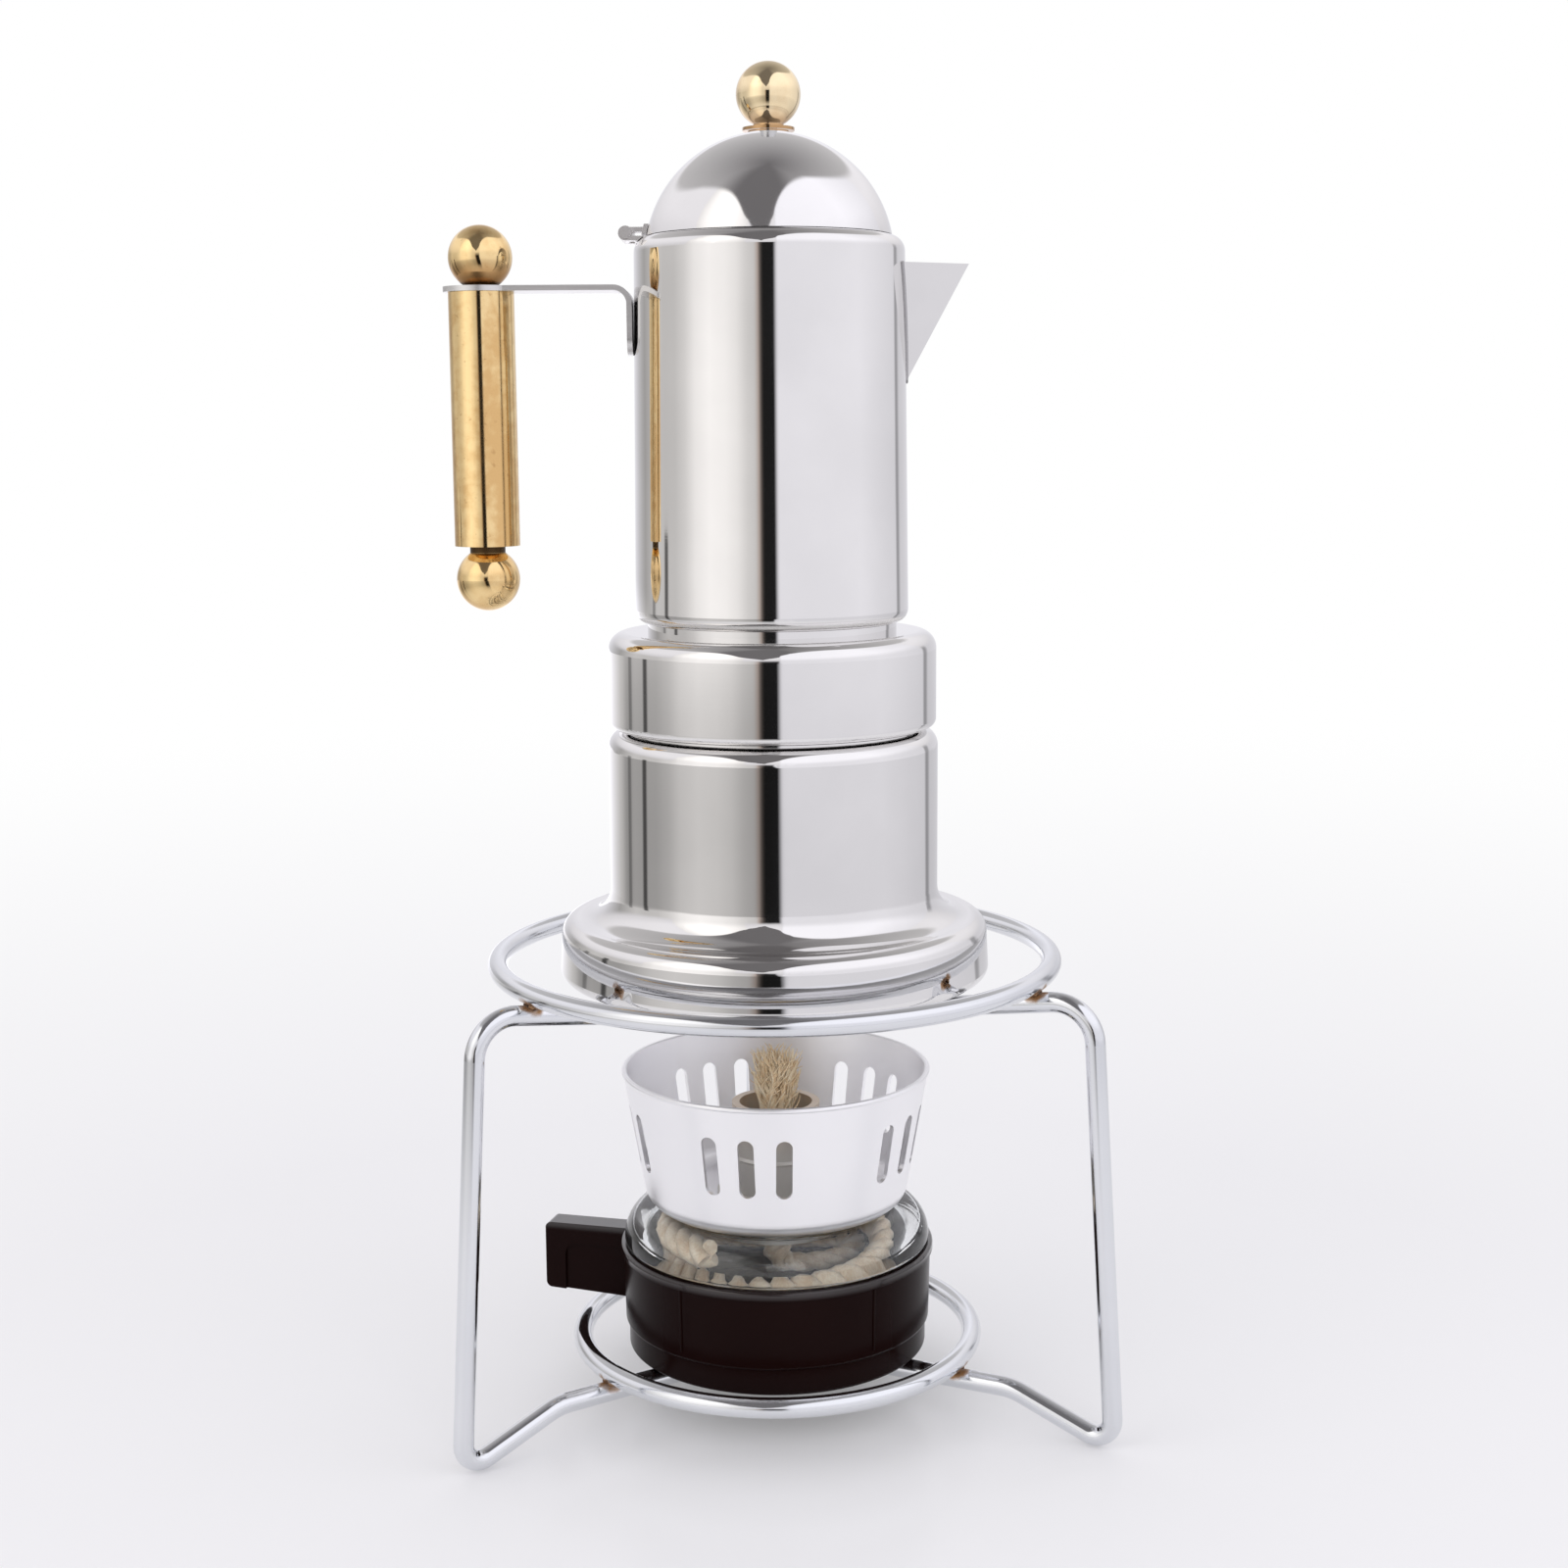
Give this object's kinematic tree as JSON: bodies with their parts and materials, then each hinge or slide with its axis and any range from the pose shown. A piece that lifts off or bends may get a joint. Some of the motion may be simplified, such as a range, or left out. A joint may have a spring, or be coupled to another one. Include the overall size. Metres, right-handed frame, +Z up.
{
  "type": "stove-top coffee pot with burner stand",
  "caption": "Polished steel stove-top coffee pot with a domed hinged lid, brass handle and knob, standing on a bent wire stand above a slotted spirit burner.",
  "frame": {"origin": "on the pot's axis at the floor that the stand's feet rest on", "axes": "+Z up along the pot's axis, +X towards the spout with the handle at -X, -Y towards the front of the picture"},
  "size_m": [0.1509, 0.1528, 0.3085],
  "materials": {
    "chrome_wire": "bright plated",
    "pot_steel": "mirror polished",
    "inner_steel": "satin",
    "hinge_steel": "polished",
    "gold_brass": "polished, slightly tarnished",
    "valve_brass": "turned",
    "gasket_rubber": "matt",
    "dark_plastic": "moulded, semi-gloss",
    "clear_glass": "clear",
    "shield_aluminium": "satin spun",
    "holder_steel": "dull, heat stained",
    "wick_cotton": "twisted cotton"
  },
  "bodies": {
    "stand": {"upper_ring": "chrome_wire", "lower_ring": "chrome_wire", "front_left_leg": "chrome_wire", "front_right_leg": "chrome_wire", "rear_leg": "chrome_wire"},
    "boiler": {"base_disc": "pot_steel", "boiler_shell": "pot_steel", "valve_body": "valve_brass", "valve_nut": "valve_brass", "valve_spring": "inner_steel"},
    "relief_pin": {"valve_pin": "valve_brass"},
    "basket": {"filter_basket": "inner_steel", "basket_sieve": "inner_steel"},
    "jug": {"jug_shell": "pot_steel", "screw_collar": "pot_steel", "spout": "pot_steel", "coffee_column": "inner_steel", "gasket": "gasket_rubber", "filter_plate": "inner_steel", "handle_bracket": "hinge_steel", "handle_grip": "gold_brass", "handle_rod": "inner_steel", "handle_top_ball": "gold_brass", "handle_bottom_ball": "gold_brass", "hinge_bracket": "hinge_steel", "hinge_pin": "hinge_steel"},
    "lid": {"lid_dome": "pot_steel", "lid_leaf": "hinge_steel", "knob_flange": "gold_brass", "knob_ball": "gold_brass", "knob_screw": "inner_steel"},
    "burner": {"burner_base": "dark_plastic", "burner_cup": "dark_plastic", "fuel_jar": "clear_glass", "wind_shield": "shield_aluminium", "wick_holder": "holder_steel", "wick": "wick_cotton"}
  },
  "joints": [
    {"name": "pot_lift", "type": "slide", "parent": "stand", "child": "boiler", "axis": [0, 0, 1], "range_m": [0, 0.15]},
    {"name": "jug_lift", "type": "slide", "parent": "boiler", "child": "jug", "axis": [0, 0, 1], "range_m": [0, 0.08]},
    {"name": "basket_lift", "type": "slide", "parent": "boiler", "child": "basket", "axis": [0, 0, 1], "range_m": [0, 0.04]},
    {"name": "lid_hinge", "type": "hinge", "parent": "jug", "child": "lid", "pos_m": [-0.0318, 0, 0.27112], "axis": [0, -1, 0], "range_deg": [0, 110]},
    {"name": "valve_pin_slide", "type": "slide", "parent": "boiler", "child": "relief_pin", "axis": [0, 1, 0], "range_m": [0, 0.0015], "stiffness_N_per_m": 500, "springref_m": -0.002, "deforming": ["valve_spring"]},
    {"name": "burner_draw", "type": "slide", "parent": "stand", "child": "burner", "axis": [-0.8754, 0.2346, 0.4226], "range_m": [0, 0.03]}
  ],
  "couplings": [
    {"joint": "basket_lift", "follows": "jug_lift", "ratio": 0.5}
  ]
}
